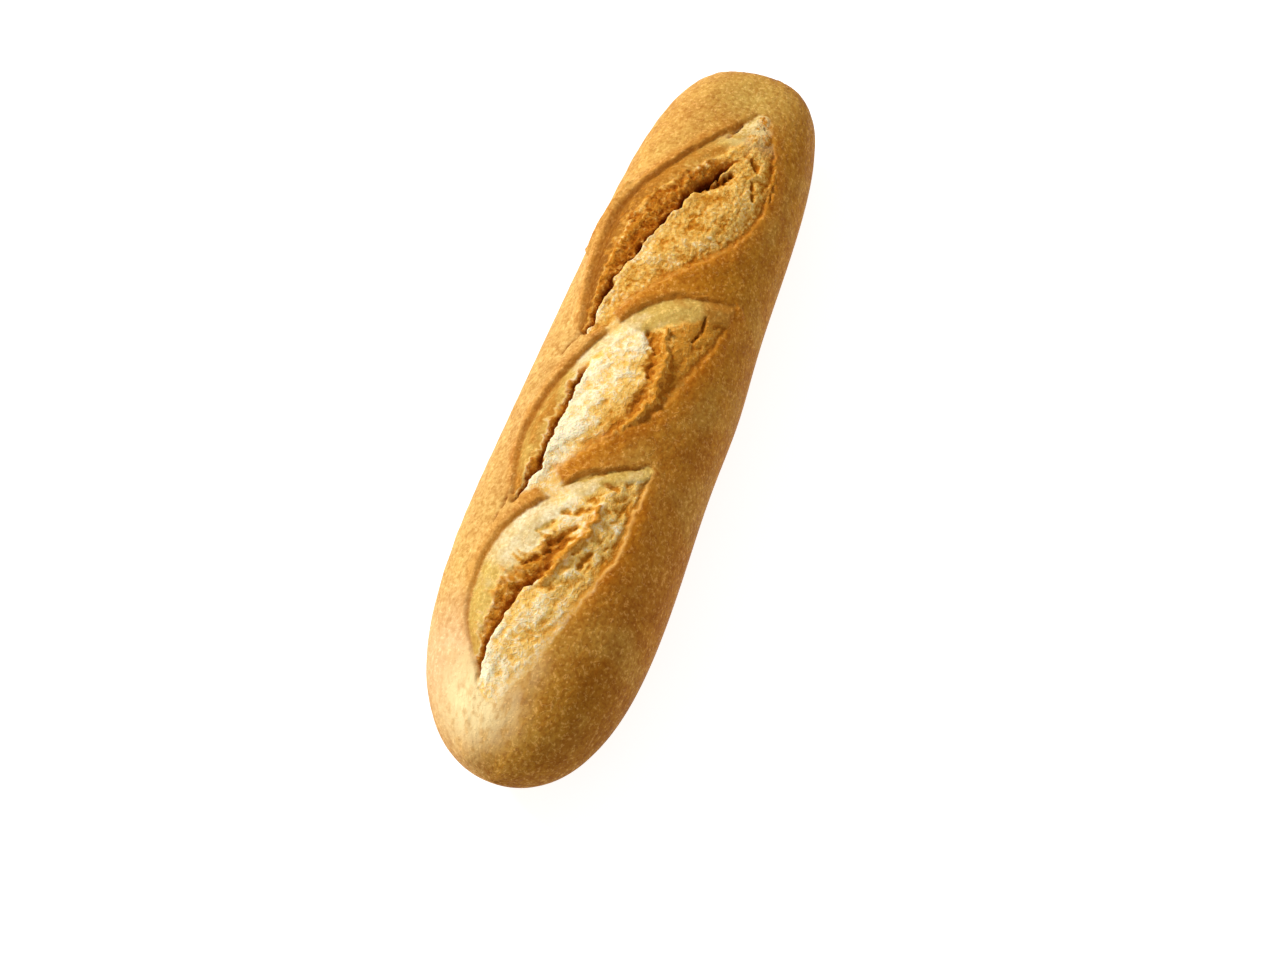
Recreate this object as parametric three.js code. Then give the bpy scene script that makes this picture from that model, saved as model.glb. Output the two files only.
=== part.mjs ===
// A short baguette, baked with three slanting cuts that have torn open.
// Millimetres, +Z up, long axis along X, resting on its flat base at Z = 0.
//
// The skin is one closed surface. Each point of it has a place x along the loaf and an
// angle round the loaf, 0 on the crown, positive down the front flank (-Y). The smooth
// body is worked out first, and the relief of the cuts is then raised or sunk square
// to it. The relief is drawn on the unrolled crust: x along it, and girth g across it.

import * as THREE from 'three';

// ---- the body -------------------------------------------------------------------------

const LENGTH = 255;
const HALF_WIDTH = 32.4;
const HEIGHT = 49;
const TAPER = -0.12; // share of the width lost from the middle to the far end
const FLARE = 0.085; // share of the width kept up towards both ends
const NEAR_BOW = -3.4; // sideways bow of the centre line at the near end
const FAR_BOW = -2.2; // and at the far end
const SIDE_SHIFT = 0.45; // brings the loaf's box back over the origin
const EQUATOR = 0.45; // height of the widest line, as a share of the loaf's height
const SECTION_POWER = 2.15; // roundness of a slice: 2 is an ellipse
const BELLY_DROP = 1.14; // how far the belly would sag without the baking surface
const BASE_EDGE = 1.2; // softness of the edge round the flat base
const NEAR_END = { shoulder: 3.95, roundness: 2.03 };
const FAR_END = { shoulder: 3.95, roundness: 3.4 };
const GIRTH_RADIUS = 33; // turns an angle on the skin into a girth in millimetres

// ---- the three cuts ---------------------------------------------------------------------

// A cut runs from its near tip to its far tip, each given as [x, g]. Its lists are read at
// seven even stations from tip to tip, in millimetres:
//   backLip, frontLip     how far it has opened to the back (+Y) and to the front
//   backRise, frontRise   how high the rolled crust stands along each lip
//   backDrop              how far the crumb falls away inside the back lip
//   frontTurn             how wide the front lip is, from crust to crumb
//   skin                  width of the smooth stretched dough under the back lip
//   tear                  the line of the deep crack, towards the back where positive
//   tearReach, tearDepth  width of the broken slope behind the crack, and its depth
// The crack lies between the two tearEnds, which are shares of the cut's length.
const CUTS = [
  {
    nearTip: [8, -19],
    farTip: [102, 6],
    backLip: [1.5, 11.3, 18, 18.3, 11.6, 5.2, 0],
    backRise: [0.8, 1.2, 1.9, 1.5, 1.0, 0.6, 0.1],
    backDrop: [0.3, 0.6, 0.8, 0.7, 0.6, 0.4, 0.2],
    frontLip: [5, 9, 15.5, 22.8, 25.2, 21.6, 7.5],
    frontRise: [0.5, 0.8, 0.9, 0.8, 0.9, 1.2, 0.2],
    frontTurn: [2.5, 2.5, 2.5, 2.5, 2.5, 2.5, 3],
    skin: [4, 7, 9.5, 9, 9, 8, 4],
    tear: [-2, 0.2, -0.3, -1.4, -3.2, -7, -8],
    tearReach: [2, 3.4, 7.8, 10, 5.5, 3.5, 2],
    tearDepth: [3, 4, 5, 5, 5, 4, 0],
    tearEnds: [-0.02, 0.76],
  },
  {
    nearTip: [-53.3, -18.2],
    farTip: [33.3, 26],
    backLip: [0, 14.3, 20.6, 21.4, 20.3, 15.9, 1.5],
    backRise: [0.6, 0.9, 1.1, 1.0, 0.9, 0.7, 0.1],
    backDrop: [0.3, 0.5, 0.5, 0.5, 0.5, 0.4, 0.1],
    frontLip: [2.5, 4.4, 5.8, 8.8, 7, 5, 0.3],
    frontRise: [0.5, 0.9, 0.9, 0.8, 1.0, 1.2, 0.8],
    frontTurn: [2.5, 2.5, 2.5, 2.5, 2.5, 2.5, 2.5],
    skin: [3, 11, 10, 4.5, 8, 12, 10],
    tear: [-2, 2, 9.4, 16.8, 17, 14, 10],
    tearReach: [2, 2, 2.6, 2, 2, 2, 2],
    tearDepth: [2, 2.6, 3, 2.4, 1, 0, 0],
    tearEnds: [0, 0.47],
  },
  {
    nearTip: [-108.6, -11],
    farTip: [-30.7, 18.6],
    backLip: [0.5, 15.2, 20.9, 21.8, 17.5, 13.6, 3.5],
    backRise: [0.1, 0.4, 0.7, 0.8, 0.8, 0.7, 0.1],
    backDrop: [0.2, 0.4, 0.4, 0.4, 0.4, 0.4, 0.1],
    frontLip: [7, 9.8, 9.2, 9, 7.9, 3.4, -0.2],
    frontRise: [0, 0, 0.2, 0.7, 1.0, 1.1, 0.6],
    frontTurn: [9, 7, 4, 2.5, 2.5, 2.5, 2.5],
    skin: [2, 9, 12, 13, 8, 7, 5],
    tear: [1.5, 3.4, 4.6, 3.1, 4, 5, 5],
    tearReach: [2, 3.6, 5.2, 5.2, 3.2, 3, 2],
    tearDepth: [2, 3.2, 4.2, 3.2, 1.8, 0.8, 0],
    tearEnds: [-0.02, 0.6],
  },
];

// Where the crumb of one cut runs into the next: two ends [x, g] and half the width.
const NECKS = [
  { from: [15, -17], to: [6, -1], halfWidth: 2 },
  { from: [-43, -13], to: [-53, 3], halfWidth: 2.4 },
];
const NECK_FLARE = 1.6; // how much wider a neck is at its ends, as a share of its half width
const NECK_SINK = 0.7;

const TIP_TAPER = 2.5; // how fast an opening closes beyond its tips
const BACK_TURN = 2.4; // width over which the crust turns over at a back lip
const ROLL_OUTSIDE = 6.5; // spread of the rolled crust away from a back lip
const ROLL_INSIDE = 2.2; // and towards the opening
const RIM_WIDTH = 2.1; // spread of the thin raised rim along a front lip
const SLOPE_SHARE = 0.5; // how much of a crack's depth its broken slope takes; its cleft has the rest
const CLEFT_WIDTH = 1.4; // half width of the narrow cleft at the foot of that slope
const CRUMB_SINK = 0.5; // depth of the crumb just inside a lip
const CRUMB_SWELL = 1.5; // how far torn crumb swells up in the middle of an opening
const SKIN_SWELL = 1.2; // and how far the stretched dough does
const CRACK_BROW = 0.5; // height of the swollen edge in front of a crack
const CRAG_RISE = 0.5; // roughness of torn crumb

// ---- ridges and holes in the crumb --------------------------------------------------------

// Each stroke follows a path of [x, g], with half its width and how far it stands out.
const STROKES = [
  { path: [[13, 6], [4, 8.5], [-8, 10], [-20, 7], [-27, 2.5]], halfWidth: 2.1, rise: 2.2 },
  { path: [[-48, 7], [-57, 6.3], [-67, 2.2], [-76, -0.5]], halfWidth: 1.9, rise: 1.5 },
  { path: [[71, -2], [59, -8.5], [46, -15.5], [31, -18]], halfWidth: 1.9, rise: 1.0 },
  { path: [[75, 6], [70.5, 2], [66, -1]], halfWidth: 2.4, rise: -4.0 },
  { path: [[11, 2], [6, 6], [-3, 6.5]], halfWidth: 2.3, rise: -2.0 },
];

// ---- smaller marks on the crust ---------------------------------------------------------

// Each mark has a place [x, y, z], how far it spreads and how far it stands out.
const MARKS = [
  { place: [-123, 4, 30], reach: 4.5, rise: 1.4 }, // nub on the near end
  { place: [111, -4, 40], reach: 9, rise: -1.3 }, // dimple beyond the last cut
  { place: [6, -33, 22], reach: 22, rise: 1.5 }, // bulge of the front flank
];
const WAVINESS = 0.35; // slow unevenness of a hand-shaped crust

// ---- the grid ---------------------------------------------------------------------------

const CUT_ZONE = { from: -113, to: 107, rows: 90 }; // along X, with rows close together
const END_ROWS = 7; // rows from the cut zone to each tip
const FINE_COLUMNS = { from: -0.88, to: 1.0, count: 39 }; // radians from the crown
const CROWN_ANGLE = 1.25; // radians from the crown to the edge of the belly
const SHOULDER_COLUMNS = 3;
const BELLY_COLUMNS = 13; // odd, so that the middle one is a flat strip to rest on

// ---- helpers ----------------------------------------------------------------------------

const clamp01 = (value) => Math.min(1, Math.max(0, value));

function smoothStep(from, to, value) {
  const t = clamp01((value - from) / (to - from));
  return t * t * (3 - 2 * t);
}

const bell = (distance, reach) => Math.exp(-((distance / reach) ** 2));

// A smooth curve through values at even stations from 0 to 1.
function throughStations(values, s) {
  const place = clamp01(s) * (values.length - 1);
  const i = Math.min(values.length - 2, Math.floor(place));
  const t = place - i;
  const before = values[Math.max(0, i - 1)];
  const after = values[Math.min(values.length - 1, i + 2)];
  const slopeIn = (values[i + 1] - before) / 2;
  const slopeOut = (after - values[i]) / 2;
  const a = 2 * values[i] - 2 * values[i + 1] + slopeIn + slopeOut;
  const b = 3 * (values[i + 1] - values[i]) - 2 * slopeIn - slopeOut;
  return ((a * t + b) * t + slopeIn) * t + values[i];
}

// Rounded lattice noise from -1 to 1, the same at every run.
function latticeNoise(u, v) {
  const corner = (i, j) => {
    const raw = Math.sin(i * 127.1 + j * 311.7) * 43758.5453;
    return 2 * (raw - Math.floor(raw)) - 1;
  };
  const i = Math.floor(u);
  const j = Math.floor(v);
  const fu = smoothStep(0, 1, u - i);
  const fv = smoothStep(0, 1, v - j);
  const low = THREE.MathUtils.lerp(corner(i, j), corner(i + 1, j), fu);
  const high = THREE.MathUtils.lerp(corner(i, j + 1), corner(i + 1, j + 1), fu);
  return THREE.MathUtils.lerp(low, high, fv);
}

// ---- the smooth body --------------------------------------------------------------------

const signedPower = (value, power) => Math.sign(value) * Math.abs(value) ** power;

function bodyPoint(x, angle) {
  const xi = THREE.MathUtils.clamp((2 * x) / LENGTH, -1, 1);
  const end = xi < 0 ? NEAR_END : FAR_END;
  const bow = xi < 0 ? NEAR_BOW : FAR_BOW;
  const cap = Math.max(0, 1 - Math.abs(xi) ** end.shoulder) ** (1 / end.roundness);
  const halfWidth = HALF_WIDTH * (1 + TAPER * xi + FLARE * xi * xi) * cap;
  const height = HEIGHT * (1 + 0.8 * TAPER * xi) * cap;
  const middle = EQUATOR * HEIGHT;
  const across = signedPower(Math.sin(angle), 2 / SECTION_POWER);
  const up = signedPower(Math.cos(angle), 2 / SECTION_POWER);
  const y = SIDE_SHIFT + bow * xi * xi - halfWidth * across;
  if (up > 0) return new THREE.Vector3(x, y, middle + (height - middle * cap) * up);
  const sagged = middle + BELLY_DROP * middle * cap * up;
  if (sagged > BASE_EDGE) return new THREE.Vector3(x, y, sagged);
  return new THREE.Vector3(x, y, Math.max(0, sagged + BASE_EDGE) ** 2 / (4 * BASE_EDGE));
}

function bodyNormal(x, angle) {
  const step = 0.4;
  const inside = LENGTH / 2 - 2 * step;
  const here = THREE.MathUtils.clamp(x, -inside, inside);
  const along = bodyPoint(here + step, angle).sub(bodyPoint(here - step, angle));
  const turn = step / GIRTH_RADIUS;
  const around = bodyPoint(here, angle + turn).sub(bodyPoint(here, angle - turn));
  return around.cross(along).normalize();
}

// ---- the relief of a cut ----------------------------------------------------------------

// Where a point of the unrolled crust lies in a cut: s along it, and the distances inside
// its lips, negative on the crust outside.
function placeInCut(cut, x, g) {
  const run = [cut.farTip[0] - cut.nearTip[0], cut.farTip[1] - cut.nearTip[1]];
  const length = Math.hypot(...run);
  const dx = x - cut.nearTip[0];
  const dg = g - cut.nearTip[1];
  const s = (dx * run[0] + dg * run[1]) / length ** 2;
  const offset = (dx * run[1] - dg * run[0]) / length;
  const past = Math.max(0, -s, s - 1) * length * TIP_TAPER;
  return {
    s,
    fromBack: throughStations(cut.backLip, s) - offset - past,
    fromFront: offset + throughStations(cut.frontLip, s) - past,
    fromTear: offset - throughStations(cut.tear, s),
  };
}

// 1 between two shares of a cut's length, fading out at both.
function within(from, to, fade, s) {
  return smoothStep(from - fade, from + fade, s) * smoothStep(to + fade, to - fade, s);
}

// The lips of a cut: how far it is open here, and the height of the rolled crust outside it.
function lips(cut, place) {
  const turn = throughStations(cut.frontTurn, place.s);
  const overBack = smoothStep(-0.5 * BACK_TURN, 0.7 * BACK_TURN, place.fromBack);
  const overFront = smoothStep(-0.5 * turn, 0.5 * turn, place.fromFront);
  const crest = place.fromBack + 0.5 * BACK_TURN;
  const besideBack = smoothStep(-2, 3, place.fromFront) * within(-0.01, 0.96, 0.05, place.s);
  const roll = bell(crest, crest < 0 ? ROLL_OUTSIDE : ROLL_INSIDE) * besideBack;
  const besideFront = smoothStep(-2, 3, place.fromBack) * within(-0.01, 1.02, 0.05, place.s);
  const rim = bell(place.fromFront + 0.8, RIM_WIDTH) * besideFront;
  const backRise = Math.max(0, throughStations(cut.backRise, place.s));
  const frontRise = Math.max(0, throughStations(cut.frontRise, place.s));
  return { open: overBack * overFront, height: backRise * roll + frontRise * rim };
}

function crumbHeight(cut, place, x, g) {
  const inside = Math.min(place.fromBack, place.fromFront);
  const hasTear = within(...cut.tearEnds, 0.04, place.s);
  const skinWidth = throughStations(cut.skin, place.s);
  const skin = smoothStep(skinWidth + 1, skinWidth - 1, place.fromBack);
  const fall = throughStations(cut.backDrop, place.s) * smoothStep(6.5, 1, place.fromBack);
  const tornSwell = CRUMB_SWELL * smoothStep(0, 8, inside) * (1 - skin);
  const skinSwell = SKIN_SWELL * smoothStep(0.5, 6, place.fromBack) * skin;
  const climb = clamp01(place.fromTear / throughStations(cut.tearReach, place.s));
  const slope = smoothStep(-1.2, 0.2, place.fromTear) * (1 - climb);
  const cleft = bell(place.fromTear - 0.4, CLEFT_WIDTH);
  const wall = hasTear * THREE.MathUtils.lerp(cleft, slope, SLOPE_SHARE);
  const brow = CRACK_BROW * hasTear * bell(place.fromTear + 1.8, 1.6);
  const rough = smoothStep(0, 3, inside) * (1 - 0.8 * skin);
  const crags = CRAG_RISE * rough * latticeNoise(x / 4.3, g / 3.1);
  const depth = throughStations(cut.tearDepth, place.s);
  return tornSwell + skinSwell + brow + crags - CRUMB_SINK - fall - depth * wall;
}

// How deep a point lies in a neck: 1 in its middle, 0 outside.
function inNeck(neck, x, g) {
  const run = [neck.to[0] - neck.from[0], neck.to[1] - neck.from[1]];
  const along = (x - neck.from[0]) * run[0] + (g - neck.from[1]) * run[1];
  const share = clamp01(along / (run[0] ** 2 + run[1] ** 2));
  const gap = Math.hypot(x - neck.from[0] - share * run[0], g - neck.from[1] - share * run[1]);
  const edge = neck.halfWidth * (1 + NECK_FLARE * (2 * share - 1) ** 2);
  return smoothStep(1.4, -1.4, gap - edge);
}

// 1 along a smooth path over the crust, falling off beside it and thinning at its ends.
function alongStroke(stroke, x, g) {
  const steps = 8 * stroke.path.length;
  let strength = 0;
  for (let i = 0; i <= steps; i++) {
    const share = i / steps;
    const px = throughStations(stroke.path.map((point) => point[0]), share);
    const pg = throughStations(stroke.path.map((point) => point[1]), share);
    const halfWidth = stroke.halfWidth * (0.5 + 0.5 * Math.sin(Math.PI * share));
    strength = Math.max(strength, bell(Math.hypot(x - px, g - pg), halfWidth));
  }
  return strength;
}

function relief(x, g) {
  let open = 0;
  let lip = 0;
  let crumb = 0;
  let total = 0;
  for (const cut of CUTS) {
    const place = placeInCut(cut, x, g);
    const edge = lips(cut, place);
    open = Math.max(open, edge.open);
    lip = Math.max(lip, edge.height);
    const weight = Math.max(0.02, Math.min(place.fromBack, place.fromFront) + 1.5) ** 2;
    crumb += weight * crumbHeight(cut, place, x, g);
    total += weight;
  }
  crumb /= total;
  for (const neck of NECKS) {
    const share = inNeck(neck, x, g) * (1 - open);
    crumb = THREE.MathUtils.lerp(crumb, -NECK_SINK, share);
    open += share;
  }
  let height = THREE.MathUtils.lerp(lip, crumb, open);
  for (const stroke of STROKES) height += stroke.rise * open * alongStroke(stroke, x, g);
  const wave = Math.sin(x / 17 + 1) * Math.sin(g / 13) + Math.sin(x / 29 + g / 21);
  return height + WAVINESS * wave;
}

function skinPoint(x, angle) {
  const point = bodyPoint(x, angle);
  const flank = smoothStep(1.6, 1.25, Math.abs(angle));
  let height = flank > 0 ? relief(x, angle * GIRTH_RADIUS) * flank : 0;
  for (const mark of MARKS) {
    height += mark.rise * bell(point.distanceTo(new THREE.Vector3(...mark.place)), mark.reach);
  }
  return point.addScaledVector(bodyNormal(x, angle), height);
}

// ---- the loaf as one closed surface -------------------------------------------------------

function rowPlaces() {
  const tip = LENGTH / 2;
  const towardsTip = (i) => Math.cos((0.5 * Math.PI * i) / END_ROWS);
  const places = [];
  for (let i = 1; i < END_ROWS; i++) {
    places.push(CUT_ZONE.from - (tip + CUT_ZONE.from) * towardsTip(i));
  }
  for (let i = 0; i <= CUT_ZONE.rows; i++) {
    places.push(THREE.MathUtils.lerp(CUT_ZONE.from, CUT_ZONE.to, i / CUT_ZONE.rows));
  }
  for (let i = END_ROWS - 1; i > 0; i--) {
    places.push(CUT_ZONE.to + (tip - CUT_ZONE.to) * towardsTip(i));
  }
  return places;
}

function columnAngles() {
  const angles = [];
  const addEven = (from, to, count) => {
    for (let i = 0; i < count; i++) angles.push(THREE.MathUtils.lerp(from, to, i / count));
  };
  addEven(-CROWN_ANGLE, FINE_COLUMNS.from, SHOULDER_COLUMNS);
  addEven(FINE_COLUMNS.from, FINE_COLUMNS.to, FINE_COLUMNS.count);
  addEven(FINE_COLUMNS.to, CROWN_ANGLE, SHOULDER_COLUMNS);
  addEven(CROWN_ANGLE, 2 * Math.PI - CROWN_ANGLE, BELLY_COLUMNS);
  return angles.map((angle) => (angle > Math.PI ? angle - 2 * Math.PI : angle));
}

function loafGeometry() {
  const rows = rowPlaces();
  const columns = columnAngles();
  const points = [bodyPoint(-LENGTH / 2, 0)];
  for (const x of rows) {
    for (const angle of columns) points.push(skinPoint(x, angle));
  }
  points.push(bodyPoint(LENGTH / 2, 0));

  const count = columns.length;
  const at = (row, column) => 1 + row * count + (column % count);
  const faces = [];
  for (let column = 0; column < count; column++) {
    faces.push(0, at(0, column + 1), at(0, column));
    for (let row = 0; row + 1 < rows.length; row++) {
      const a = at(row, column);
      const b = at(row, column + 1);
      const c = at(row + 1, column + 1);
      const d = at(row + 1, column);
      faces.push(a, b, c, a, c, d);
    }
    faces.push(points.length - 1, at(rows.length - 1, column), at(rows.length - 1, column + 1));
  }

  const geometry = new THREE.BufferGeometry().setFromPoints(points);
  geometry.setIndex(faces);
  geometry.computeVertexNormals();
  return geometry;
}

const crust = new THREE.MeshStandardMaterial({ color: 0xd09a4e, roughness: 0.7, metalness: 0 });
const baguette = new THREE.Mesh(loafGeometry(), crust);
baguette.name = 'baguette';

const part = new THREE.Group();
part.add(baguette);

export default part;
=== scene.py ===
# A short baguette with three slanting cuts that tore open in the oven, on a white table.
# Metres, +Z up, long axis along X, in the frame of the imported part.
import math

import bpy
import numpy as np
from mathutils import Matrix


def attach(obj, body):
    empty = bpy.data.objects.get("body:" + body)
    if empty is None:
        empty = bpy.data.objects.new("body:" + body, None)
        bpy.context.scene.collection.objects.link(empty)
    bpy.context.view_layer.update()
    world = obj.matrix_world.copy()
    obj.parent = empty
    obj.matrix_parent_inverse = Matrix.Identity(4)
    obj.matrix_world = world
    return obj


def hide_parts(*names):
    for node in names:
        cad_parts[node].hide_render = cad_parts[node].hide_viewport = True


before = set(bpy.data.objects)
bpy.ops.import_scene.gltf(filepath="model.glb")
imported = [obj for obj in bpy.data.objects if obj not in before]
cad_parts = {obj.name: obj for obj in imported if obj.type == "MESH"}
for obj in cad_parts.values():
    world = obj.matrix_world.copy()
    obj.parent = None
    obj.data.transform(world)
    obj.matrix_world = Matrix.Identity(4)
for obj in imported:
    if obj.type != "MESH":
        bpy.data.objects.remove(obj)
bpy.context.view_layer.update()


# ---- The loaf ------------------------------------------------------------------------------
# One closed skin: thin baked crust over the whole loaf, and the crumb that shows where the
# three cuts tore open. The smooth body comes first; lips, cracks and torn crumb are then
# raised or sunk square to it. Sizes in this section are millimetres, and angles radians.

# The near end is at -X, the far end at +X, the back at +Y and the front at -Y. TAPER thins
# the loaf towards its far end, with HEIGHT_TAPER of that in its height, and FLARE widens
# both ends. NEAR_BOW and FAR_BOW bend the ends sideways. EQUATOR is how far up the section
# is widest, BELLY_DROP presses the belly onto its flat base, and BASE_EDGE rounds that off.
LENGTH = 255
HALF_WIDTH = 32.4
HEIGHT = 49
TAPER = -0.12
HEIGHT_TAPER = 0.8
FLARE = 0.085
NEAR_BOW = -3.4
FAR_BOW = -2.2
SIDE_SHIFT = 0.45
EQUATOR = 0.45
SECTION_POWER = 2.15
BELLY_DROP = 1.14
BASE_EDGE = 1.2
SHOULDER = 3.95
NEAR_ROUNDNESS = 2.03
FAR_ROUNDNESS = 3.4
GIRTH_RADIUS = 33

# A cut runs from its near tip to its far tip, each given as (x, girth), where girth is how
# far round the loaf a point lies from the middle of its crown, towards the front. A list is
# read at seven even stations from tip to tip.
#   back_lip, front_lip: how far the lips stand off the line from tip to tip
#   back_edge, front_edge: the width over which a lip turns down
#   back_rise, back_drop, front_rise: heights of the rolled lip, of the fall inside it, and
#       of the thin front rim
#   tear, tear_ends: the line of the deep crack, and from where to where along the cut it
#       runs, with 0 at the near tip and 1 at the far one
#   tear_reach, tear_depth: the width of the crack's broken slope, and its depth
#   cleft, darkness: the share of the depth that its narrow foot has, and how dark its painted shade
#       is
#   singe: the width of the toasted band on the crack's other side
#   skin, strip: the widths of the smooth dough under the back lip, and of the brown torn
#       strip inside the front rim
#   skin_bake, crumb_bake: 0 is pale, 1 is brown and 1.5 is dark; the skin's dark is painted shade
#   granular, stranded, rim_highlight: how grainy and how stringy the crumb is, and how strong
#       the painted highlight on the broken edge of the front rim is, each from 0 to 1
CUTS = [
    {
        "near_tip": (8, -19),
        "far_tip": (104, 6),
        "back_lip": (1.5, 11.3, 18, 18.3, 11.6, 5.2, 0),
        "back_edge": (1.0, 1.0, 1.0, 1.0, 1.1, 1.4, 2.0),
        "back_rise": (0.8, 1.2, 1.6, 1.3, 0.9, 0.6, 0.1),
        "back_drop": (0.3, 0.5, 0.7, 0.6, 0.5, 0.4, 0.2),
        "front_lip": (5, 9, 15.5, 22.8, 25.2, 21.6, 7.5),
        "front_edge": (2.0, 2.6, 3.0, 3.0, 2.0, 1.6, 4),
        "front_rise": (0.5, 0.8, 0.9, 0.7, 0.7, 0.9, 0.2),
        "tear": (-2, 0.2, -0.3, -1.4, -3.2, -7, -8),
        "tear_reach": (2, 3.4, 7.8, 10, 5.5, 3.5, 1),
        "tear_ends": (-0.02, 0.76),
        "tear_depth": (3, 4, 5, 5, 5, 4, 0),
        "cleft": 0.5,
        "darkness": 0.9,
        "singe": (2, 3.5, 5, 6, 6, 4, 2),
        "skin": (4, 7, 9.5, 9, 9, 8, 4),
        "strip": (0.8, 1, 1, 1, 1.8, 4, 6),
        "skin_bake": (1.7, 1.7, 1.4, 1.2, 1.0, 0.75, 0.5),
        "crumb_bake": (0.45, 0.55, 0.7, 0.75, 0.8, 0.9, 0.5),
        "granular": 1.0,
        "stranded": 0.4,
        "rim_highlight": 0.1,
    },
    {
        "near_tip": (-53.3, -18.2),
        "far_tip": (33.3, 26),
        "back_lip": (0, 14.3, 20.6, 21.4, 20.3, 15.9, 1.5),
        "back_edge": (1.0, 1.1, 1.1, 1.1, 1.1, 1.2, 1.4),
        "back_rise": (0.6, 1.0, 1.1, 1.0, 0.9, 0.7, 0.1),
        "back_drop": (0.2, 0.5, 0.6, 0.5, 0.5, 0.4, 0.1),
        "front_lip": (2.5, 4.4, 5.8, 8.8, 7.0, 5.0, 0.3),
        "front_edge": (2.0, 2.6, 3.0, 3.0, 2.8, 2.2, 1.5),
        "front_rise": (0.5, 0.9, 0.9, 0.8, 0.9, 1.0, 0.8),
        "tear": (-2, 2, 9.4, 16.8, 17, 14, 10),
        "tear_reach": (1.2, 2.6, 3.0, 1.8, 1, 1, 1),
        "tear_ends": (0, 0.47),
        "tear_depth": (2, 2.6, 2.6, 1.8, 0.8, 0, 0),
        "cleft": 0.5,
        "darkness": 0.85,
        "singe": (0.5, 0.8, 1.5, 1, 0, 0, 0),
        "skin": (3, 11, 10, 4.5, 8, 12, 10),
        "strip": (1, 1.2, 2.5, 8.5, 12.5, 13, 8),
        "skin_bake": (0.85, 0.75, 0.8, 0.2, 0.3, 0.65, 1.2),
        "crumb_bake": (0.1, 0.05, 0.05, 0.15, 0.35, 0.5, 0.6),
        "granular": 0.35,
        "stranded": 0.3,
        "rim_highlight": 0.0,
    },
    {
        "near_tip": (-108.6, -11),
        "far_tip": (-30.7, 18.6),
        "back_lip": (0.5, 15.2, 20.9, 21.8, 17.5, 13.6, 3.5),
        "back_edge": (1.6, 1.5, 1.4, 1.3, 1.1, 1.1, 1.2),
        "back_rise": (0.1, 0.4, 0.7, 0.8, 0.8, 0.7, 0.1),
        "back_drop": (0.2, 0.4, 0.4, 0.4, 0.4, 0.4, 0.1),
        "front_lip": (7, 9.8, 9.2, 9.0, 7.9, 3.4, -0.2),
        "front_edge": (10, 9, 6, 2.4, 1.6, 1.4, 1.2),
        "front_rise": (0, 0, 0.2, 0.7, 1.0, 1.1, 0.6),
        "tear": (1.5, 3.4, 4.6, 3.1, 4, 5, 5),
        "tear_reach": (2, 3.6, 5.2, 5.2, 3.2, 3, 2),
        "tear_ends": (-0.02, 0.60),
        "tear_depth": (1.8, 2.8, 3.2, 1.7, 1.2, 0.6, 0),
        "cleft": 0.2,
        "darkness": 0.5,
        "singe": (1, 1.5, 2.5, 2.5, 1.5, 0, 0),
        "skin": (2, 9, 12, 13, 8, 7, 5),
        "strip": (0, 0, 0, 0, 0.5, 1, 1),
        "skin_bake": (0.7, 0.6, 0.35, 0.15, 0.15, 0.35, 0.5),
        "crumb_bake": (0.1, 0.25, 0.45, 0.6, 0.7, 0.7, 0.5),
        "granular": 0.4,
        "stranded": 0.6,
        "rim_highlight": 1.0,
    },
]

# Where the crumb of one cut runs into the next: two ends (x, girth) and half the width. A
# neck is wider by these shares at its first and at its second end. Its edge is soft, and the
# lips beside it are rounded off as far as NECK_REACH.
NECKS = [((14.2, -13.5), (6, -1), 2.3), ((-44.6, -9.5), (-53, 3), 2.8)]
NECK_FLARES = (0.3, 1.6)
NECK_SINK = 0.7
NECK_EDGE = 1.2
NECK_CRUMB_EDGE = 0.8
NECK_REACH = 4

# Toasted ridges of torn crumb: a path of (x, girth), half its width and its height.
CRESTS = [
    (((13, 6), (4, 8.5), (-8, 10), (-20, 7), (-27, 2.5)), 1.5, 1.9),
    (((-48, 7), (-57, 6.3), (-67, 2.2), (-76, -0.5)), 1.4, 1.4),
    (((71, -2), (59, -8.5), (46, -15.5), (31, -18), (20, -17.5)), 1.3, 0.8),
    (((96, 19), (84, 22), (72, 22.5)), 1.1, 1.0),
]

# Smaller cracks and open bubbles: a path, half its width, its depth, and how dark its painted shade
# is.
CRACKS = [
    (((75, 6), (70.5, 2), (66, -1)), 2.3, 4.2, 1.0),
    (((11, 2), (6, 6), (-3, 6.5)), 2.3, 2.2, 0.25),
    (((-8, 7), (-16, 5)), 1.6, 1.4, 0.15),
    (((22.5, 16), (18, 16.5), (13.5, 15)), 0.8, 1.3, 0.6),
    (((-54, -1), (-50, 5)), 1.2, 1.2, 0.15),
    (((-61.5, -6), (-57, -2)), 0.8, 0.9, 0.15),
    (((-65, -2), (-57, 3)), 1.1, 1.3, 0.2),
    (((-72, -6), (-66, -1)), 0.9, 1.2, 0.2),
    (((-63, 9), (-68, 7)), 1.4, 1.3, 0.2),
    (((-41, 10), (-41, 5)), 1.0, 1.1, 0.15),
    (((97, 3), (90, 0.5)), 0.8, 1.1, 0.6),
    (((101, 8), (96.5, 14.5)), 0.7, 1.0, 0.5),
    (((84, 11.5), (81, 14.5)), 1.3, 1.7, 0.4),
    (((76, 14), (70, 17)), 0.9, 1.3, 0.3),
    (((8, -18.5), (4.5, -20.5), (-1, -23.2)), 0.6, 1.1, 0.4),
    (((-49.5, -18), (-54, -19.6), (-61, -20.4)), 0.6, 1.1, 0.4),
    (((31, 14), (28, 7), (22, -1.5), (14.5, -6.5)), 0.6, 0.5, 0.35),
    (((-31, 15), (-38, 3.5), (-45, -4)), 0.6, 0.4, 0.25),
]

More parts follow.
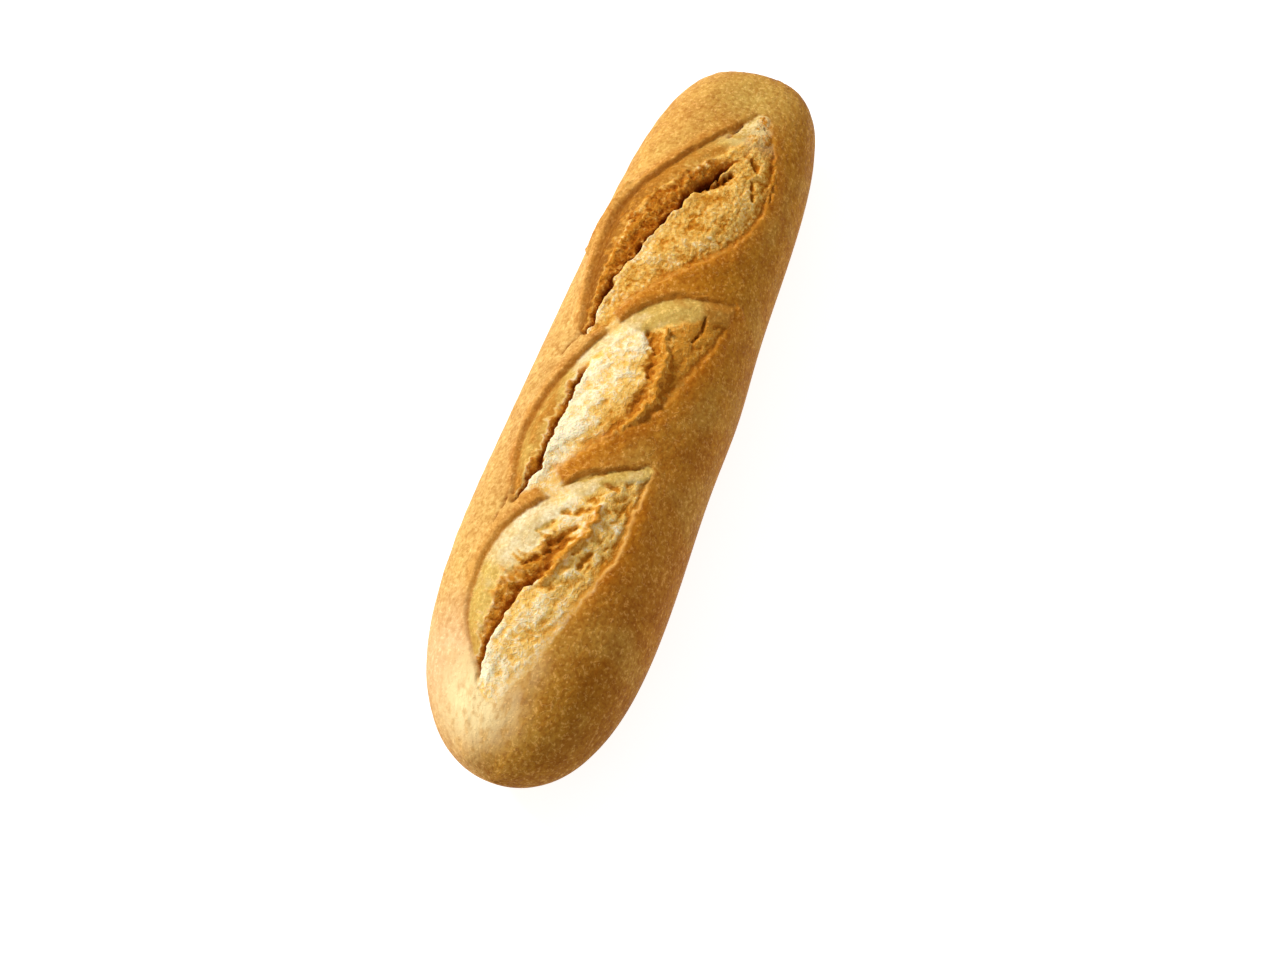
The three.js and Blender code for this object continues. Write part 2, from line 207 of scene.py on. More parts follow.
# Folds of crust that stand up beside a lip: a path, half its width and its height.
FOLDS = [
    (((65, -26), (57, -29.5), (48, -32.5), (40, -34)), 2.4, 1.7),
]

# The lips. A lip fades out between these distances from the lip across and, at the tips,
# between these shares of the cut. A roll or rim has one width on the crust and another in
# the cut. RIM_TEARS is the size of the ragged bits of rim, along the cut and across it.
TIP_TAPER = 2.5
LIP_FADE = (-2, 3)
LIP_START = (-0.06, 0.04)
BACK_LIP_END = (0.90, 1.02)
FRONT_LIP_END = (1, 1.05)
ROLL_OUTSIDE = 4.8
ROLL_INSIDE = 1.3
ROLL_BROWNING = 2.6
RIM_OUTSIDE = 5.5
RIM_INSIDE = 2.2
RIM_BROWNING = 11
RIM_RAGGEDNESS = 0.6
RIM_TEARS = (3.2, 6)
THINNEST_RIM = 0.4
# The width of the painted highlight along the front rim's broken edge.
RIM_HIGHLIGHT_WIDTH = 0.65

# The torn inside of a cut. Sizes are along the cut and across it. Each of the crumb's swells
# has its height, its size and its draw. The brow and the cleft have their places beside the
# line of the crack.
CRUMB_SINK = 0.4
CRUMB_SWELL = 1.5
SWELL_REACH = 10
CRUMB_SWELLS = [(0.5, (9, 6), 9), (0.35, (3.6, 2.6), 15)]
TORN_REACH = 2.2
STRAND_SIZE = (5.5, 1.8)
STRAND_HEIGHT = 0.6
GRANULE_SIZE = (1.3, 1.1)
GRANULE_HEIGHT = 0.3
BUBBLE_SIZE = (3.0, 2.1)
BUBBLE_DEPTH = 0.2
FRAY_SIZE = (1.5, 2.8)
SKIN_SWELL = 1.2
SKIN_FADE = 0.9
STRIP_RISE = 0.3
STRIP_FADE = 2.6
DROP_REACH = (1, 6.5)
TEAR_END_FADE = 0.04
NARROWEST_SLOPE = 0.7
BROW_PLACE = -1.3
BROW_WIDTH = 1.2
BROW_HEIGHT = 0.5
CLEFT_PLACE = 0.35
CLEFT_WIDTH = 0.75
CLEFT_SHADE_WIDTH = 0.8
FULL_SHADE_DEPTH = 2.6

# Broad forms of the body: the middle, the reach, and how far it stands out.
END_NUB = ((-123, 4, 30), 4.5, 1.4)
CROWN_DIMPLE = ((111, -4, 40), 9, -1.3)
FLANK_BULGE = ((6, -33, 22), 22, 1.5)
WAVINESS = 0.35

# The mesh has its finest rows where the cuts lie and its finest columns, from one angle to
# another, over the crown. The relief fades out down the flanks, and the crust's grain beyond
# FINE_GIRTH. What stands proud is judged against the cells of the mesh around it, over a
# narrow and a wide stretch, and by how many millimetres.
CUT_ZONE = (-114, 108)
CUT_ROWS = 500
END_ROWS = 32
FINE_COLUMNS = (-0.86, 0.98, 136)
FINE_GIRTH = (-28, 32)
CROWN_ANGLE = 1.25
SHOULDER_COLUMNS = (13, 8)
BELLY_COLUMNS = 18
RELIEF_FADE = (1.25, 1.6)
UNDERSIDE = (2.1, 2.9)
NARROW_CELLS = 3
NARROW_PROUD = 0.45
WIDE_CELLS = 9
WIDE_PROUD = 1.4
MILLIMETRE = 0.001


def smooth_step(start, end, value):
    t = np.clip((value - start) / (end - start), 0, 1)
    return t * t * (3 - 2 * t)


def bell(distance, reach):
    return np.exp(-((distance / reach) ** 2))


def through_stations(values, s):
    """A smooth curve through values at even stations from 0 to 1."""
    values = np.asarray(values, float)
    place = np.clip(s, 0, 1) * (len(values) - 1)
    i = np.minimum(len(values) - 2, np.floor(place).astype(int))
    t = place - i
    before = values[np.maximum(0, i - 1)]
    after = values[np.minimum(len(values) - 1, i + 2)]
    slope_in = (values[i + 1] - before) / 2
    slope_out = (after - values[i]) / 2
    a = 2 * values[i] - 2 * values[i + 1] + slope_in + slope_out
    b = 3 * (values[i + 1] - values[i]) - 2 * slope_in - slope_out
    return ((a * t + b) * t + slope_in) * t + values[i]


def scramble(i, j, seed):
    """A repeatable whole number for one lattice corner."""
    h = (i * 374761393 + j * 668265263 + seed * 974634777) & 0x7FFFFFFF
    h = ((h ^ (h >> 13)) * 1274126177) & 0x7FFFFFFF
    return h ^ (h >> 16)


def lattice_slope(i, j, du, dv, seed):
    turn = (scramble(i, j, seed) & 1023) * (2 * np.pi / 1024)
    return np.cos(turn) * du + np.sin(turn) * dv


def grain(u, v, seed):
    """Gradient noise from about -1 to 1, one lump to a unit."""
    i = np.floor(u).astype(np.int64)
    j = np.floor(v).astype(np.int64)
    du = u - i
    dv = v - j
    fu = du * du * du * (du * (du * 6 - 15) + 10)
    fv = dv * dv * dv * (dv * (dv * 6 - 15) + 10)
    low = lattice_slope(i, j, du, dv, seed) * (1 - fu)
    low = low + lattice_slope(i + 1, j, du - 1, dv, seed) * fu
    high = lattice_slope(i, j + 1, du, dv - 1, seed) * (1 - fu)
    high = high + lattice_slope(i + 1, j + 1, du - 1, dv - 1, seed) * fu
    return 1.4 * (low * (1 - fv) + high * fv)


def layered_grain(u, v, seed, layers):
    total = 0
    for layer in range(layers):
        total = total + grain(u * 2**layer, v * 2**layer, seed + layer) / 2**layer
    return total


def granules(u, v, seed):
    """Rounded lumps of uneven height, about one to each unit square."""
    i = np.floor(u).astype(np.int64)
    j = np.floor(v).astype(np.int64)
    nearest = np.full(u.shape, 9.0)
    size = np.zeros(u.shape)
    for di in (-1, 0, 1):
        for dj in (-1, 0, 1):
            h = scramble(i + di, j + dj, seed)
            distance = np.hypot(u - i - di - (h & 63) / 63, v - j - dj - ((h >> 6) & 63) / 63)
            closer = distance < nearest
            nearest = np.where(closer, distance, nearest)
            size = np.where(closer, ((h >> 12) & 63) / 63, size)
    return (1 - smooth_step(0, 0.85, nearest)) * (0.35 + 0.65 * size)


def signed_power(value, power):
    return np.sign(value) * np.abs(value) ** power


def body_point(x, angle):
    """A point of the smooth body. xi goes from -1 at the near end to 1 at the far one."""
    xi = np.clip(2 * x / LENGTH, -1, 1)
    roundness = np.where(xi < 0, NEAR_ROUNDNESS, FAR_ROUNDNESS)
    cap = np.maximum(0, 1 - np.abs(xi) ** SHOULDER) ** (1 / roundness)
    half_width = HALF_WIDTH * (1 + TAPER * xi + FLARE * xi * xi) * cap
    height = HEIGHT * (1 + HEIGHT_TAPER * TAPER * xi) * cap
    middle = EQUATOR * HEIGHT
    across = signed_power(np.sin(angle), 2 / SECTION_POWER)
    up = signed_power(np.cos(angle), 2 / SECTION_POWER)
    y = SIDE_SHIFT + np.where(xi < 0, NEAR_BOW, FAR_BOW) * xi * xi - half_width * across
    crown = middle + (height - middle * cap) * up
    sagged = middle + BELLY_DROP * middle * cap * up
    rounded = np.maximum(0, sagged + BASE_EDGE) ** 2 / (4 * BASE_EDGE)
    belly = np.where(sagged > BASE_EDGE, sagged, rounded)
    return np.stack([x + 0 * angle, y, np.where(up > 0, crown, belly)], -1)


def body_normal(x, angle):
    step = 0.4
    here = np.clip(x, 2 * step - LENGTH / 2, LENGTH / 2 - 2 * step)
    along = body_point(here + step, angle) - body_point(here - step, angle)
    turn = step / GIRTH_RADIUS
    around = body_point(here, angle + turn) - body_point(here, angle - turn)
    normal = np.cross(around, along)
    return normal / np.linalg.norm(normal, axis=-1, keepdims=True)


def place_in_cut(cut, x, g):
    """Where (x, g) lies in a cut; distances from its lips are positive inside."""
    run = np.subtract(cut["far_tip"], cut["near_tip"])
    length = math.hypot(*run)
    dx = x - cut["near_tip"][0]
    dg = g - cut["near_tip"][1]
    s = (dx * run[0] + dg * run[1]) / length**2
    offset = (dx * run[1] - dg * run[0]) / length
    past = np.maximum(0, np.maximum(-s, s - 1)) * length * TIP_TAPER
    along = s * length
    torn_edge = RIM_RAGGEDNESS * layered_grain(along / RIM_TEARS[0], offset / RIM_TEARS[1], 79, 2)
    return {
        "s": s,
        "along": along,
        "offset": offset,
        "back": through_stations(cut["back_lip"], s) - offset - past,
        "front": offset + through_stations(cut["front_lip"], s) - past + torn_edge,
        "tear": offset - through_stations(cut["tear"], s),
    }


def within(ends, s, fade):
    begun = smooth_step(ends[0] - fade, ends[0] + fade, s)
    return begun * (1 - smooth_step(ends[1] - fade, ends[1] + fade, s))


def in_lumps(place, size):
    """A place along and across a cut, counted in lumps of one size."""
    return place["along"] / size[0], place["offset"] / size[1]


def lips(cut, place):
    """The lips of a cut: how open it is, heights to add outside it, browning, painted shadow line
    and highlight.
    """
    s = place["s"]
    along = place["along"]
    back = place["back"]
    front = place["front"]
    turn = through_stations(cut["back_edge"], s)
    thin = np.maximum(THINNEST_RIM, through_stations(cut["front_edge"], s))
    under_rim = smooth_step(-0.5 * thin, 0.5 * thin, front)
    opened = smooth_step(-0.5 * turn, 0.7 * turn, back) * under_rim
    shown = smooth_step(0.2 * turn, 0.8 * turn, back) * under_rim
    begun = smooth_step(*LIP_START, s)
    along_back = smooth_step(*LIP_FADE, front) * begun * (1 - smooth_step(*BACK_LIP_END, s))
    along_front = smooth_step(*LIP_FADE, back) * begun * (1 - smooth_step(*FRONT_LIP_END, s))
    uneven = 0.75 + 0.4 * grain(along / 7, back / 9, 71)

    # The rolled back lip.
    crest = back + 0.5 * turn
    lift = through_stations(cut["back_rise"], s)
    lifted = np.clip(1.3 * lift, 0, 1)
    roll = bell(crest, np.where(crest < 0, ROLL_OUTSIDE, ROLL_INSIDE)) * along_back
    rolled = np.maximum(0, lift) * roll
    roll_brown = bell(crest + 0.8, ROLL_BROWNING) * along_back * lifted

    # The thin front rim.
    rise = np.maximum(0, through_stations(cut["front_rise"], s))
    risen = np.clip(rise, 0, 1)
    brink = front + 1.2 + 0.5 * grain(along / 5, front / 6, 73)
    rim = bell(brink, np.where(brink < 0, RIM_OUTSIDE, RIM_INSIDE)) * along_front * rise
    rim = rim * (0.8 + 0.5 * grain(along / 6, front / 9, 75))
    rim_brown = bell(front + 2, ROLL_BROWNING) * along_front * risen
    # A painted highlight along the broken edge of the front rim.
    edge = bell(front + 0.2, RIM_HIGHLIGHT_WIDTH) * along_front * risen
    return {
        "opened": opened,
        "shown": shown,
        "height": rolled + rim,
        "roll": np.maximum(roll_brown, rim_brown) * uneven,
        # drop: a painted shadow line inside the rolled lip, where it falls to the skin
        "drop": bell(back - 0.15 * turn, 0.45 * turn) * along_back * lifted * uneven,
        "rim": smooth_step(-RIM_BROWNING, 0, front) * along_front * risen,
        "edge": edge * cut["rim_highlight"] * uneven,
    }


def crumb_relief(cut, place, seed):
    """Height of the torn inside of a cut, how it has baked, and the painted shade in its crack."""
    s = place["s"]
    along = place["along"]
    across = place["offset"]
    back = place["back"]
    front = place["front"]
    inside = np.minimum(back, front)

    # The crack: its line, the broken slope, the brow on its other side and its narrow foot.
    has_tear = within(cut["tear_ends"], s, TEAR_END_FADE)
    wander = 1.2 * grain(along / 5.5, across / 9, seed + 3)
    wander = wander + 0.6 * grain(along / 2.3, across / 2.8, seed + 4)
    tear = place["tear"] + wander + 0.2 * grain(along / 1.0, across / 1.3, seed + 5)
    reach = through_stations(cut["tear_reach"], s)
    reach = reach * (1 + 0.5 * grain(along / 4, across / 8, seed + 6))
    reach = np.maximum(NARROWEST_SLOPE, reach)
    climb = tear / reach
    frayed = climb * (1 + 0.5 * layered_grain(along / 1.6, across / 4, seed + 16, 2))
    slope = has_tear * smooth_step(-0.3, 0.3, tear) * (1 - smooth_step(0.6, 1.5, frayed))
    brow = has_tear * bell(tear - BROW_PLACE, BROW_WIDTH)
    gully = has_tear * smooth_step(-1.0, 0.1, tear) * (1 - np.clip(climb, 0, 1))
    gaping = np.clip(0.75 + 0.7 * grain(along / 6, across / 30, seed + 14), 0.25, 1)
    cleft = has_tear * bell(tear - CLEFT_PLACE, CLEFT_WIDTH) * gaping

    # The smooth skin, the torn strip inside the front rim and the singed band.
    skin_width = through_stations(cut["skin"], s) + 1.4 * grain(along / 4, across / 5, seed)
    skin = 1 - smooth_step(skin_width - SKIN_FADE, skin_width + SKIN_FADE, back)
    skin = skin * (1 - slope) * smooth_step(-0.4, 0.4, np.where(has_tear > 0.5, tear, 9))
    strip_width = through_stations(cut["strip"], s)
    uneven = 2.2 * grain(along / 5, across / 6, seed + 7)
    strip_width = strip_width + uneven * np.clip(strip_width / 5, 0.3, 1)
    strip = 1 - smooth_step(strip_width - STRIP_FADE, strip_width + STRIP_FADE, front)
    strip = strip * smooth_step(0.2, 1.2, strip_width)
    singe = through_stations(cut["singe"], s) * (1 + 0.5 * grain(along / 3, across / 6, seed + 8))
    singe = has_tear * (tear < 0.5) * bell(np.minimum(0, tear), np.maximum(0.3, singe))

    # Heights, from the broad swell of the crumb to its frayed fibres and the crack.
    mound = smooth_step(0, SWELL_REACH, inside)
    fall = through_stations(cut["back_drop"], s) * (1 - smooth_step(*DROP_REACH, back))
    depth = through_stations(cut["tear_depth"], s)
    torn = smooth_step(0, TORN_REACH, inside) * (1 - 0.85 * skin)
    strands = np.abs(layered_grain(*in_lumps(place, STRAND_SIZE), seed + 13, 2))
    lumps = granules(*in_lumps(place, GRANULE_SIZE), seed + 17)
    bubbles = granules(*in_lumps(place, BUBBLE_SIZE), seed + 19)
    fray = np.abs(layered_grain(*in_lumps(place, FRAY_SIZE), seed + 11, 2))
    height = -CRUMB_SINK - fall + CRUMB_SWELL * mound * (1 - skin)
    height = height + SKIN_SWELL * skin * smooth_step(0.5, 6, back)
    for rise, size, draw in CRUMB_SWELLS:
        height = height + torn * rise * grain(*in_lumps(place, size), seed + draw)
    height = height + torn * cut["stranded"] * STRAND_HEIGHT * (0.35 - strands)
    height = height + torn * GRANULE_HEIGHT * (0.3 + 0.7 * cut["granular"]) * (lumps - 0.25)
    open_bubbles = smooth_step(0.35, 0.8, bubbles)
    height = height - torn * BUBBLE_DEPTH * (1 - cut["granular"]) * open_bubbles
    height = height + (torn * (slope + 0.1 * strip) + 0.12 * skin) * (0.4 - fray)
    height = height + BROW_HEIGHT * brow * (1 - skin)
    height = height - depth * ((1 - cut["cleft"]) * gully + cut["cleft"] * cleft)
    height = height + STRIP_RISE * strip * smooth_step(2, 6, strip_width)

    # How brown it all is, and the painted shade in the crack.
    bake = through_stations(cut["crumb_bake"], s)
    bake = bake + 0.4 * layered_grain(along / 9, across / 6, seed + 21, 2)
    bake = bake + 0.35 * cut["stranded"] * (strands - 0.3) + 0.4 * singe - 0.25 * brow
    beside_strip = 1 - smooth_step(0, 7, front - strip_width)
    bake = bake + 0.55 * beside_strip * smooth_step(2, 5, strip_width)
    skin_bake = through_stations(cut["skin_bake"], s)
    skin_bake = skin_bake + 0.16 * grain(along / 8, across / 6, seed + 22)
    bake = bake * (1 - skin) + skin_bake * skin
    browned = slope * (0.85 + 0.4 * grain(along / 2, across / 1.5, seed + 23)) + 0.7 * strip
    speckled = smooth_step(-0.1, 0.5, grain(along / 2.2, across / 1.8, seed + 24))
    browned = browned + 0.4 * singe * speckled
    # Painted shade at the crack's narrow foot and down its gully.
    cleft_shade = bell(tear - CLEFT_PLACE, CLEFT_SHADE_WIDTH) * gaping
    dark = np.clip(cleft_shade + 0.4 * gully**2, 0, 1) * has_tear
    dark = dark * np.clip(depth / FULL_SHADE_DEPTH, 0, 1) * cut["darkness"]
    masks = {"skin": skin, "bake": bake, "toast": np.clip(browned, 0, 1), "crack": dark}
    # The slope is browned, and deeper down the gully it darkens further as painted shade.
    masks["slope"] = np.clip(slope + 0.5 * gully, 0, 1) * cut["darkness"] ** 1.5
    masks["grit"] = cut["granular"] + 0 * s
    return height, masks


def path_bell(path, half_width, x, g):
    """1 along a smooth path over the crust, falling off beside it and thinning at its ends."""
    path = np.asarray(path, float)
    steps = np.linspace(0, 1, 12 * len(path))
    middle = np.stack([through_stations(path[:, 0], steps), through_stations(path[:, 1], steps)])
    thickness = half_width * (0.35 + 0.65 * np.sin(np.pi * np.clip(steps, 0.04, 0.96)) ** 0.6)
    near = np.abs(x - middle[0].mean()) < np.ptp(middle[0]) / 2 + 4 * half_width
    near = near & (np.abs(g - middle[1].mean()) < np.ptp(middle[1]) / 2 + 4 * half_width)
    best = np.zeros(np.count_nonzero(near))
    for px, pg, width in zip(*middle, thickness):
        best = np.maximum(best, bell(np.hypot(x[near] - px, g[near] - pg), width))
    strength = np.zeros(near.shape)
    strength[near] = best
    return strength


def loaf_relief(x, g):
    """Height of everything that stands proud of the smooth body or is sunk in it."""
    fine_zone = smooth_step(-4, 0, g - FINE_GIRTH[0]) * smooth_step(3, 0, g - FINE_GIRTH[1])
    height = 0.18 * grain(x / 6, g / 6, 91)
    height = height + 0.10 * fine_zone * layered_grain(x / 2.2, g / 2.2, 95, 2)
    ragged_x = x + 0.45 * grain(x / 3.1, g / 3.1, 41)
    ragged_g = g + 0.5 * grain(x / 3.4, g / 3.4, 51) + 0.18 * grain(x / 1.1, g / 1.1, 61)

    # The three cuts. Where two of them meet, each counts by how far inside it a point lies.
    total = 1e-6
    crumb = 0
    masks = {"skin": 0, "bake": 0, "toast": 0, "slope": 0, "crack": 0, "grit": 0}
    edges = {"opened": 0, "shown": 0, "height": 0, "roll": 0, "drop": 0, "rim": 0, "edge": 0}
    for number, cut in enumerate(CUTS):
        place = place_in_cut(cut, ragged_x, ragged_g)
        weight = np.maximum(0.02, np.minimum(place["back"], place["front"]) + 1.5) ** 2
        inner, here = crumb_relief(cut, place, 100 * number)
        total = total + weight
        crumb = crumb + weight * inner
        for name in masks:
            masks[name] = masks[name] + weight * here[name]
        for name, values in lips(cut, place).items():
            edges[name] = np.maximum(edges[name], values)
    crumb = crumb / total
    masks = {name: values / total for name, values in masks.items()}
    opened = edges["opened"]
    shown = edges["shown"]

    # The necks between them.
    for start, end, half_width in NECKS:
        run = np.subtract(end, start)
        share = ((ragged_x - start[0]) * run[0] + (ragged_g - start[1]) * run[1]) / run.dot(run)
        share = np.clip(share, 0, 1)
        gap = np.hypot(ragged_x - start[0] - share * run[0], ragged_g - start[1] - share * run[1])
        flare = np.where(share < 0.5, *NECK_FLARES)
        gap = gap - half_width * (1 + flare * (2 * share - 1) ** 2)
        neck = smooth_step(NECK_EDGE, -NECK_EDGE, gap)
        rounded_off = 1 - 0.8 * smooth_step(NECK_REACH, 0, gap)
        for name in ("height", "roll", "drop"):
            edges[name] = edges[name] * rounded_off
        only_neck = neck * (1 - opened)
        crumb = crumb * (1 - only_neck) - NECK_SINK * only_neck
        for name in ("skin", "bake", "toast", "slope"):
            masks[name] = masks[name] * (1 - 0.7 * neck)
        masks["bake"] = masks["bake"] + 0.1 * neck
        opened = np.maximum(opened, neck)
        shown = np.maximum(shown, smooth_step(NECK_CRUMB_EDGE, -NECK_CRUMB_EDGE, gap))
    height = (height + edges["height"]) * (1 - opened) + crumb * opened

    # Crests, small cracks and folds, on jagged lines.
    crags = 1 + 0.65 * layered_grain(x / 2.4, g / 1.8, 131, 2)
    jagged_x = ragged_x + 1.3 * grain(x / 4.3, g / 4.3, 141)
    jagged_g = ragged_g + 1.3 * grain(x / 4.1, g / 4.1, 143) + 0.6 * grain(x / 1.8, g / 1.8, 145)
    for path, half_width, rise in CRESTS:
        crest = path_bell(path, half_width, jagged_x, jagged_g) * opened
        height = height + rise * crest * crags
        masks["toast"] = np.maximum(masks["toast"], crest * np.clip(1.4 * crags, 0, 1))
        masks["slope"] = masks["slope"] * (1 - 0.8 * crest)
        masks["skin"] = masks["skin"] * (1 - crest)
    # Small cracks are sunk, browned, and painted dark inside as shade.
    for path, half_width, depth, darkness in CRACKS:
        crack = path_bell(path, half_width, ragged_x, ragged_g)
        crack = crack * np.clip(0.85 + 0.8 * grain(x / 1.6, g / 1.6, 151), 0.3, 1)
        height = height - depth * crack
        masks["crack"] = np.maximum(masks["crack"], crack * darkness)
        masks["bake"] = masks["bake"] + 0.7 * crack
    for path, half_width, rise in FOLDS:
        fold = path_bell(path, half_width, ragged_x, ragged_g) * (1 - opened)
        height = height + rise * fold
        edges["roll"] = np.maximum(edges["roll"], fold)
    masks["shown"] = shown
    masks["fine_zone"] = fine_zone
    masks["drop"] = edges["drop"]
    for name in ("roll", "rim", "edge"):
        masks[name] = edges[name] * (1 - shown)
    wave = WAVINESS * (np.sin(x / 17 + 1) * np.sin(g / 13) + np.sin(x / 29 + g / 21))
    return height + wave, masks


def running_mean(values, reach):
    """Mean over the grid's neighbours up to reach cells away, both ways."""
    for axis in (0, 1):
        padding = [(0, 0), (0, 0)]
        padding[axis] = (reach + 1, reach)
        total = np.cumsum(np.pad(values, padding, mode="edge"), axis=axis)
        width = 2 * reach + 1
        count = values.shape[axis]
        later = np.take(total, range(width, width + count), axis=axis)
        values = (later - np.take(total, range(count), axis=axis)) / width
    return values


def loaf_rows():
    tip = LENGTH / 2
    reach = np.cos(0.5 * np.pi * np.arange(1, END_ROWS) / END_ROWS)
    near = CUT_ZONE[0] - (tip + CUT_ZONE[0]) * reach
    far = CUT_ZONE[1] + (tip - CUT_ZONE[1]) * reach[::-1]
    return np.concatenate([near, np.linspace(*CUT_ZONE, CUT_ROWS + 1), far])


def loaf_columns():
    back, front, count = FINE_COLUMNS
    fine = np.linspace(back, front, count + 1)
    back_shoulder = np.linspace(-CROWN_ANGLE, back, SHOULDER_COLUMNS[0] + 1)[:-1]
    front_shoulder = np.linspace(front, CROWN_ANGLE, SHOULDER_COLUMNS[1] + 1)[1:]
    belly = np.linspace(CROWN_ANGLE, 2 * np.pi - CROWN_ANGLE, BELLY_COLUMNS + 1)[1:-1]
    belly = np.where(belly > np.pi, belly - 2 * np.pi, belly)
    return np.concatenate([back_shoulder, fine, front_shoulder, belly])


def loaf_mesh():
    rows, columns = np.meshgrid(loaf_rows(), loaf_columns(), indexing="ij")
    points = body_point(rows, columns)
    normals = body_normal(rows, columns)
    height, masks = loaf_relief(rows, columns * GIRTH_RADIUS)
    height = height * (1 - smooth_step(*RELIEF_FADE, np.abs(columns)))
    # What stands proud or lies hollow steers the colour: its hollows get painted shade in the
    # material.
    narrow = (height - running_mean(height, NARROW_CELLS)) / NARROW_PROUD
    wide = (height - running_mean(height, WIDE_CELLS)) / WIDE_PROUD
    masks["proud"] = np.clip(narrow + wide, -1, 1) * masks.pop("fine_zone")
    for place, reach, rise in (END_NUB, CROWN_DIMPLE, FLANK_BULGE):
        height = height + rise * bell(np.linalg.norm(points - place, axis=-1), reach)
    points = points + normals * height[..., None]
    # The angle round the loaf fades to 0 underneath, so that both flanks meet in one colour.
    masks["girth"] = columns * (1 - smooth_step(*UNDERSIDE, np.abs(columns)))

    # Four-sided faces between the rows, and a fan of triangles that closes each end.
    row_count, column_count = rows.shape
    tips = body_point(np.array([-LENGTH / 2, LENGTH / 2]), np.zeros(2))
    verts = np.concatenate([tips[:1], points.reshape(-1, 3), tips[1:]]) * MILLIMETRE
    row, column = np.meshgrid(np.arange(row_count - 1), np.arange(column_count), indexing="ij")
    beside = (column + 1) % column_count
    corners = [
        1 + row * column_count + column,
        1 + row * column_count + beside,
        1 + (row + 1) * column_count + beside,
        1 + (row + 1) * column_count + column,
    ]
    quads = np.stack(corners, -1).reshape(-1, 4)
    ring = np.arange(column_count)
    turned = (ring + 1) % column_count
    last = 1 + (row_count - 1) * column_count
    near_fan = np.stack([0 * ring, 1 + turned, 1 + ring], -1)
    far_fan = np.stack([0 * ring + len(verts) - 1, last + ring, last + turned], -1)
    mesh = bpy.data.meshes.new("loaf")
    mesh.from_pydata(verts.tolist(), [], quads.tolist() + near_fan.tolist() + far_fan.tolist())
    for name, values in masks.items():
        layer = mesh.attributes.new(name, "FLOAT", "POINT")
        with_tips = np.concatenate([[0], values.reshape(-1), [0]])
        layer.data.foreach_set("value", with_tips.astype(np.float32))
    mesh.shade_smooth()
    mesh.update()
    return mesh


loaf = bpy.data.objects.new("loaf", loaf_mesh())
bpy.context.collection.objects.link(loaf)


class Nodes:
    """Short names for building a material's nodes."""

    def __init__(self, material):
        material.use_nodes = True
        self.tree = material.node_tree
        self.tree.nodes.clear()

    def add(self, kind, inputs=(), **settings):
        node = self.tree.nodes.new(kind)
        for key, value in settings.items():
            setattr(node, key, value)
        for key, value in dict(inputs).items():
            if isinstance(value, bpy.types.NodeSocket):
                self.tree.links.new(value, node.inputs[key])
            else:
                node.inputs[key].default_value = value
        return node

    def mask(self, name):
        return self.add("ShaderNodeAttribute", attribute_name=name).outputs["Fac"]

    def math(self, operation, a, b=0.0, clamp=False):
        node = self.add("ShaderNodeMath", {0: a, 1: b}, operation=operation, use_clamp=clamp)
        return node.outputs[0]

    def mix(self, share, a, b):
        node = self.add("ShaderNodeMix", {0: share, 6: a, 7: b}, data_type="RGBA")
        return node.outputs[2]

    def tint(self, share, colour, factor):
        settings = {"data_type": "RGBA", "blend_type": "MULTIPLY"}
        return self.add("ShaderNodeMix", {0: share, 6: colour, 7: factor}, **settings).outputs[2]

    def blend(self, share, a, b):
        return self.add("ShaderNodeMix", {0: share, 2: a, 3: b}).outputs[0]

    def noise(self, size_mm, detail=2.0, roughness=0.5, where=None):
        inputs = {"Scale": 1000 / size_mm, "Detail": detail, "Roughness": roughness}
        inputs["Vector"] = where or self.where
        return self.add("ShaderNodeTexNoise", inputs).outputs[0]

    def cell(self, size_mm):
        return self.add("ShaderNodeTexVoronoi", {"Vector": self.where, "Scale": 1000 / size_mm})

    def span(self, value, low, high, out_low=0.0, out_high=1.0):
        inputs = {"Value": value, "From Min": low, "From Max": high}
        inputs.update({"To Min": out_low, "To Max": out_high})
        return self.add("ShaderNodeMapRange", inputs, interpolation_type="SMOOTHSTEP").outputs[0]

    def times(self, a, b, clamp=False):
        return self.math("MULTIPLY", a, b, clamp)

    def stretch(self, axis, start_mm, end_mm):
        """0 to 1 from one place to another along an axis of the loaf."""
        return self.span(self.axes.outputs[axis], start_mm / 1000, end_mm / 1000)

    def strands(self, size_mm, thickness):
        """Thin curly lines, 1 along a line and 0 between."""
        centred = self.math("SUBTRACT", self.noise(size_mm, 1.5, 0.5), 0.5)
        return self.span(self.math("ABSOLUTE", centred), thickness, 0.0)

    def spot(self, place_mm, reach_mm):
        """1 at a point of the loaf, falling to 0 at reach_mm from it."""
        middle = [c / 1000 for c in place_mm]
        distance = self.add("ShaderNodeVectorMath", {0: self.where, 1: middle}, operation="DISTANCE")
        return self.span(distance.outputs["Value"], reach_mm / 1000, 0, 0, 1)


BACK_CRUST = (0.70, 0.43, 0.13, 1)
BACK_FAR_CRUST = (0.67, 0.37, 0.085, 1)
BACK_LOW_CRUST = (0.64, 0.31, 0.07, 1)
PALE_CRUST = (0.80, 0.54, 0.29, 1)
CROWN_CRUST = (0.54, 0.26, 0.034, 1)
CROWN_FAR_CRUST = (0.44, 0.165, 0.010, 1)
FRONT_CRUST = (0.48, 0.195, 0.020, 1)
FRONT_FAR_CRUST = (0.50, 0.215, 0.018, 1)
NEAR_CRUST = (0.36, 0.15, 0.013, 1)
OLIVE_CRUST = (0.60, 0.38, 0.085, 1)
FADED_CRUST = (0.90, 0.69, 0.34, 1)
ROLL_CRUST = (0.61, 0.265, 0.042, 1)
LIP_SHADOW_CRUST = (0.60, 0.24, 0.026, 1)
RIM_CRUST = (0.54, 0.195, 0.010, 1)
RIM_EDGE_HIGHLIGHT = (0.86, 0.54, 0.16, 1)
CRUST_MOTTLE_AND_SHADE = (0.66, 0.46, 0.25, 1)
